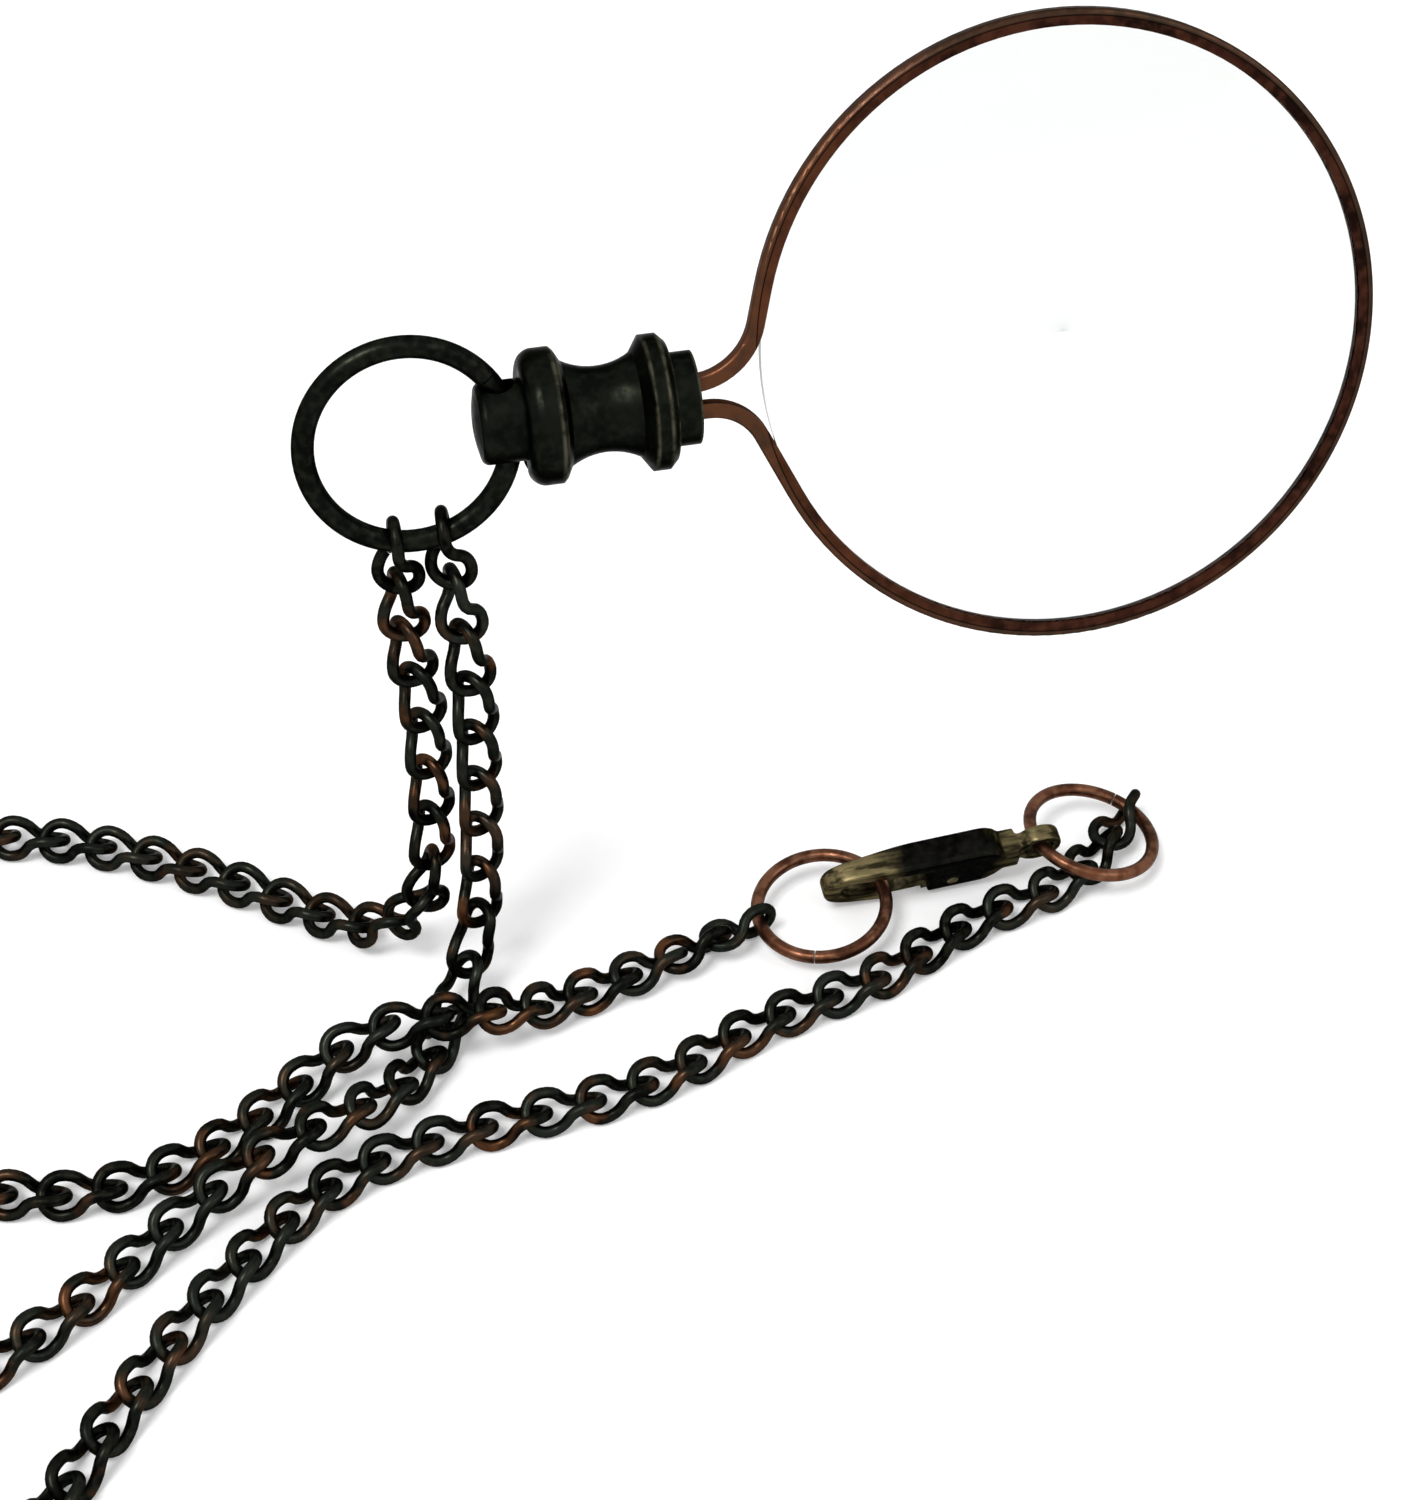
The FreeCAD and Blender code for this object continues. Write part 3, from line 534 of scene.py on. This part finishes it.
# Height of a lying link's middle, and the two routes over the floor and up to the bail ring
lay = -0.04742209
upper_route = [
    (0.00855, -0.00385, lay + 0.0005), (0.0044, -0.0051, lay + 0.00035),
    (0.0003, -0.0063, lay + 0.00015), (-0.0037, -0.0074, lay),
    (-0.0076, -0.0089, lay + 0.0009), (-0.0116, -0.0099, lay + 0.0024),
    (-0.0162, -0.0100, lay + 0.0028), (-0.0207, -0.0098, lay + 0.0019),
    (-0.0249, -0.0117, lay + 0.0004), (-0.0288, -0.0144, lay), (-0.0330, -0.0170, lay),
    (-0.0376, -0.0184, lay), (-0.0424, -0.0186, lay), (-0.0472, -0.0174, lay),
    (-0.0524, -0.0156, lay), (-0.0574, -0.0124, lay), (-0.0612, -0.0076, lay),
    (-0.0630, -0.0016, lay), (-0.0624, 0.0050, lay), (-0.0592, 0.0112, lay), (-0.0538, 0.0162, lay),
    (-0.0474, 0.0186, lay), (-0.0412, 0.0172, lay), (-0.0348, 0.0140, lay), (-0.0286, 0.0099, lay),
    (-0.0230, 0.0054, lay), (-0.0189, 0.0020, lay + 0.0007), (-0.0158, -0.0001, lay + 0.0033),
    (-0.0141, -0.0010, -0.0406), (-0.0135, -0.0009, -0.0352), (-0.0133, -0.0008, -0.0288),
    (-0.0134, -0.0008, -0.0220), (-0.0143, -0.0013, -0.0156), (-0.01435, -0.00182, -0.00863)]
lower_route = [
    (0.0401, 0.0012, lay + 0.00048), (0.0370, -0.0023, lay + 0.00015), (0.0326, -0.0047, lay),
    (0.0272, -0.0059, lay), (0.0224, -0.0082, lay), (0.0176, -0.0107, lay), (0.0126, -0.0119, lay),
    (0.0074, -0.0134, lay), (0.0024, -0.0159, lay), (-0.0032, -0.0176, lay), (-0.0096, -0.0182, lay),
    (-0.0160, -0.0189, lay), (-0.0219, -0.0202, lay), (-0.0269, -0.0230, lay),
    (-0.0316, -0.0274, lay), (-0.0364, -0.0324, lay), (-0.0410, -0.0383, lay),
    (-0.0449, -0.0436, lay), (-0.0490, -0.0490, lay), (-0.0548, -0.0522, lay),
    (-0.0612, -0.0504, lay), (-0.0642, -0.0448, lay), (-0.0622, -0.0388, lay),
    (-0.0566, -0.0349, lay), (-0.0502, -0.0327, lay), (-0.0444, -0.0296, lay),
    (-0.0392, -0.0258, lay), (-0.0342, -0.0220, lay + 0.0005),
    (-0.0292, -0.0196, lay + 0.0019), (-0.0242, -0.0180, lay + 0.0026),
    (-0.0192, -0.0152, lay + 0.0012), (-0.0159, -0.0112, lay), (-0.0137, -0.0074, lay + 0.0003),
    (-0.0119, -0.0044, lay + 0.0026), (-0.0107, -0.0031, -0.0414), (-0.0102, -0.0028, -0.0354),
    (-0.0100, -0.0028, -0.0288), (-0.0100, -0.0029, -0.0220), (-0.0103, -0.0027, -0.0156),
    (-0.01095, -0.00178, -0.00851)]
upper_lying_spaces = 40
lower_lying_spaces = 50
upper_rolls = [(0, 46), (3, 0), (-10, 0), (-7, 100), (-4, 104), (-1, 67)]
lower_rolls = [(0, 36), (2, 0), (-10, 0), (-7, 25), (-4, 21), (-1, -24)]


def upper_wear(place):
    """The upper chain is worn most where it hangs and near its end ring."""
    return 0.65 if place.z > -0.044 else 0.80 if place.x > -0.012 else 0.40


def lower_wear(place):
    """The lower chain is worn most in front, where it lies nearest."""
    return 0.75 if place.y < -0.016 or place.z > -0.044 else 0.45


def declare_chain(chain, line, length, *stretches):
    """Hide a length of chain's CAD links and put the chain in their place, on the glass's body."""
    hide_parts(*stretches)
    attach(chain, "glass")


upper_line = route_line("upper route", upper_route)
upper_chain, upper_length = make_chain(
    "upper_chain", upper_line, upper_lying_spaces, upper_rolls, upper_wear, 4)
declare_chain(upper_chain, upper_line, upper_length, "chain_ring_run", "chain_pile",
              "chain_middle_run", "chain_left_turn", "chain_back_run", "chain_hanging_left")
lower_line = route_line("lower route", lower_route)
lower_chain, lower_length = make_chain(
    "lower_chain", lower_line, lower_lying_spaces, lower_rolls, lower_wear, 9)
declare_chain(lower_chain, lower_line, lower_length, "chain_clasp_run", "chain_lower_run",
              "chain_corner_turn", "chain_front_run", "chain_hanging_right")
finish_node("chain_hitch", chain_copper)


# End rings: round copper wire closed by hand, one through the hook's window and one through
# its eye, browner than the chain and smooth.
ring_copper, *_ = old_metal(
    "End ring copper", (0.045, 0.018, 0.010), (0.130, 0.050, 0.026), (0.22, 0.110, 0.065),
    0.45, 300.0, 0.7)
finish_node("end_ring_a", ring_copper)
finish_node("end_ring_b", ring_copper)


# Clasp: a hook filed round from thick plate, black and satin, worn to brass on its tapered
# nose and at the drilled eye. A brass lever on a pin closes it, pushed by a bent strip spring.
clasp_eye = Vector((0.0326, -0.00135, -0.0452))
clasp_window = Vector((0.01945, -0.00175, -0.04585))
clasp_length = 0.0172
clasp_lean = radians(20.0)
window_half = 0.00125
nose_taper_end = 0.0075
nose_wall_left = 0.62
nose_thickness_left = 0.66
grain_step = 0.00013
filing_passes = 10

clasp_along = (clasp_eye - clasp_window).normalized()
clasp_spine = Vector((0.0, -sin(clasp_lean), cos(clasp_lean)))
clasp_spine = (clasp_spine - clasp_along * clasp_spine.dot(clasp_along)).normalized()
clasp_face = clasp_along.cross(clasp_spine)
clasp_nose = clasp_eye - clasp_along * clasp_length
to_world = Matrix((clasp_along, clasp_spine, clasp_face)).transposed().to_4x4()
to_world.translation = clasp_nose
to_clasp = to_world.inverted()

rough_hook = bpy.data.meshes.new("clasp_hook")
cleaner = bmesh.new()
cleaner.from_mesh(nodes["clasp_body"].data)
bmesh.ops.remove_doubles(cleaner, verts=cleaner.verts, dist=0.000002)
cleaner.to_mesh(rough_hook)
cleaner.free()
rough_hook.transform(to_clasp)
clasp_hook = bpy.data.objects.new("clasp_hook", rough_hook)
scene.collection.objects.link(clasp_hook)
grain = clasp_hook.modifiers.new("even grain", "REMESH")
grain.mode = "VOXEL"
grain.voxel_size = grain_step
filed = clasp_hook.modifiers.new("filed round", "SMOOTH")
filed.factor = 0.5
filed.iterations = filing_passes
hook_mesh = plain_mesh(clasp_hook)
clasp_hook.modifiers.clear()
clasp_hook.data = hook_mesh
hook_mesh.name = "clasp_hook"
for vertex in hook_mesh.vertices:
    place = vertex.co
    share = max(0.0, min(1.0, place.x / nose_taper_end))
    share = share * share * (3 - 2 * share)
    wall = nose_wall_left + (1 - nose_wall_left) * share
    place.z *= nose_thickness_left + (1 - nose_thickness_left) * share
    if abs(place.y) > window_half:
        side = 1 if place.y > 0 else -1
        place.y = side * (window_half + (abs(place.y) - window_half) * wall)
hook_mesh.transform(to_world)
hook_mesh.shade_smooth()

ragged_reach = 0.004
nose_worn_places = (0.0085, 0.0060)
eye_worn_places = (0.0148, 0.0166)
eye_worn_share = 0.85
filing_stretch = (250.0, 1500.0, 1500.0)
worn_brass = (0.155, 0.125, 0.060)
brass_streak = (0.022, 0.018, 0.009)
clasp_black, tree, shader, _ = old_metal(
    "Black satin clasp", (0.0020, 0.0020, 0.0018), (0.0060, 0.0060, 0.0050),
    (0.020, 0.019, 0.014), 0.25)
position = object_position(tree)
along_clasp = tree.nodes.new("ShaderNodeVectorMath")
along_clasp.operation = "DOT_PRODUCT"
along_clasp.inputs[1].default_value = clasp_along
tree.links.new(position, along_clasp.inputs[0])
from_nose = math_node(tree, "SUBTRACT", along_clasp.outputs["Value"], clasp_along.dot(clasp_nose))
ragged = math_node(tree, "MULTIPLY", noise(tree, position, 500.0), ragged_reach)
ragged_place = math_node(tree, "ADD", from_nose, ragged)
nose_worn = span(tree, ragged_place, *nose_worn_places)
eye_worn = math_node(tree, "MULTIPLY", span(tree, ragged_place, *eye_worn_places), eye_worn_share)
worn = math_node(tree, "MAXIMUM", nose_worn, eye_worn)
stretch = tree.nodes.new("ShaderNodeMapping")
stretch.inputs["Scale"].default_value = filing_stretch
tree.links.new(position, stretch.inputs["Vector"])
streaks = span(tree, noise(tree, stretch.outputs["Vector"], 1.0, 3.0), 0.38, 0.60)
brass = mix_colour(tree, streaks, brass_streak, worn_brass)
paint_over(tree, shader, worn, brass)
hook_mesh.materials.clear()
hook_mesh.materials.append(clasp_black)
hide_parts("clasp_body")
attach(clasp_hook, "glass")

lever_brass, *_ = old_metal(
    "Worn lever brass", (0.030, 0.025, 0.012), (0.13, 0.105, 0.05), (0.32, 0.27, 0.16), 0.5)
finish_node("clasp_lever", lever_brass)
finish_node("clasp_pin", lever_brass)

# The strip spring, which flattens up against the slot's roof as the lever opens, is copied here as
# it stands.
strip_steel, *_ = old_metal(
    "Spring steel", (0.10, 0.10, 0.10), (0.26, 0.26, 0.25), (0.42, 0.42, 0.41), 0.3)
strip_mesh = nodes["clasp_spring"].data.copy()
strip_mesh.name = "clasp_strip"
strip_mesh.materials.clear()
strip_mesh.materials.append(strip_steel)
clasp_strip = bpy.data.objects.new("clasp_strip", strip_mesh)
scene.collection.objects.link(clasp_strip)
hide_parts("clasp_spring")
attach(clasp_strip, "glass")
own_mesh(clasp_strip)


# Floor, light and camera: a white sheet under the object, soft light from above and the
# left, and the camera where the picture was taken.
floor_height = -0.04875
floor_half = 3.0
floor_lift = 0.15

corners = [(x * floor_half, y * floor_half, floor_height)
           for x, y in ((-1, -1), (1, -1), (1, 1), (-1, 1))]
floor_mesh = bpy.data.meshes.new("floor")
floor_mesh.from_pydata(corners, [], [(0, 1, 2, 3)])
floor = bpy.data.objects.new("floor", floor_mesh)
scene.collection.objects.link(floor)
sheet_white, tree, shader, out = new_material("White sheet")
set_shader(shader, Base_Color=(0.93, 0.93, 0.93, 1.0), Roughness=0.9)
lifted = tree.nodes.new("ShaderNodeEmission")
rays = tree.nodes.new("ShaderNodeLightPath")
lift_seen = math_node(tree, "MULTIPLY", rays.outputs["Is Camera Ray"], floor_lift)
tree.links.new(lift_seen, lifted.inputs["Strength"])
both = tree.nodes.new("ShaderNodeAddShader")
tree.links.new(shader.outputs["BSDF"], both.inputs[0])
tree.links.new(lifted.outputs["Emission"], both.inputs[1])
tree.links.new(both.outputs["Shader"], out.inputs["Surface"])
floor_mesh.materials.append(sheet_white)

surround_light = 0.6
world = bpy.data.worlds.new("Soft studio")
scene.world = world
world.use_nodes = True
tree = world.node_tree
tree.nodes.clear()
world_out = tree.nodes.new("ShaderNodeOutputWorld")
surround = tree.nodes.new("ShaderNodeBackground")
surround.inputs["Color"].default_value = (1.0, 1.0, 1.0, 1.0)
surround.inputs["Strength"].default_value = surround_light
seen = tree.nodes.new("ShaderNodeBackground")
seen.inputs["Color"].default_value = (1.0, 1.0, 1.0, 1.0)
seen.inputs["Strength"].default_value = 1.0
rays = tree.nodes.new("ShaderNodeLightPath")
shiny = math_node(tree, "ADD", rays.outputs["Is Glossy Ray"], rays.outputs["Is Transmission Ray"])
direct = math_node(tree, "ADD", rays.outputs["Is Camera Ray"], shiny, True)
choose = tree.nodes.new("ShaderNodeMixShader")
tree.links.new(direct, choose.inputs["Fac"])
tree.links.new(surround.outputs["Background"], choose.inputs[1])
tree.links.new(seen.outputs["Background"], choose.inputs[2])
tree.links.new(choose.outputs["Shader"], world_out.inputs["Surface"])


def area_lamp(name, place, size, power):
    """A square lamp that faces the object."""
    target = Vector((0.0, 0.0, -0.02))
    lamp = bpy.data.lights.new(name, "AREA")
    lamp.shape = "SQUARE"
    lamp.size = size
    lamp.energy = power
    holder = bpy.data.objects.new(name, lamp)
    holder.location = place
    holder.rotation_euler = (target - Vector(place)).to_track_quat("-Z", "Y").to_euler()
    scene.collection.objects.link(holder)


area_lamp("Key", (-0.35, -0.30, 0.75), 0.32, 5.0)
area_lamp("Fill", (0.5, -0.5, 0.6), 0.6, 1.5)

lens_camera = bpy.data.cameras.new("Camera")
lens_camera.sensor_fit = "VERTICAL"
lens_camera.sensor_height = 24.0
lens_camera.lens = 48.0
lens_camera.clip_start = 0.01
lens_camera.clip_end = 20.0
camera = bpy.data.objects.new("Camera", lens_camera)
camera.location = (-0.0267, -0.15595, 0.1170)
camera.rotation_euler = (radians(47.0), 0.0, radians(-12.2))
scene.collection.objects.link(camera)
scene.camera = camera
scene.view_settings.view_transform = "Standard"
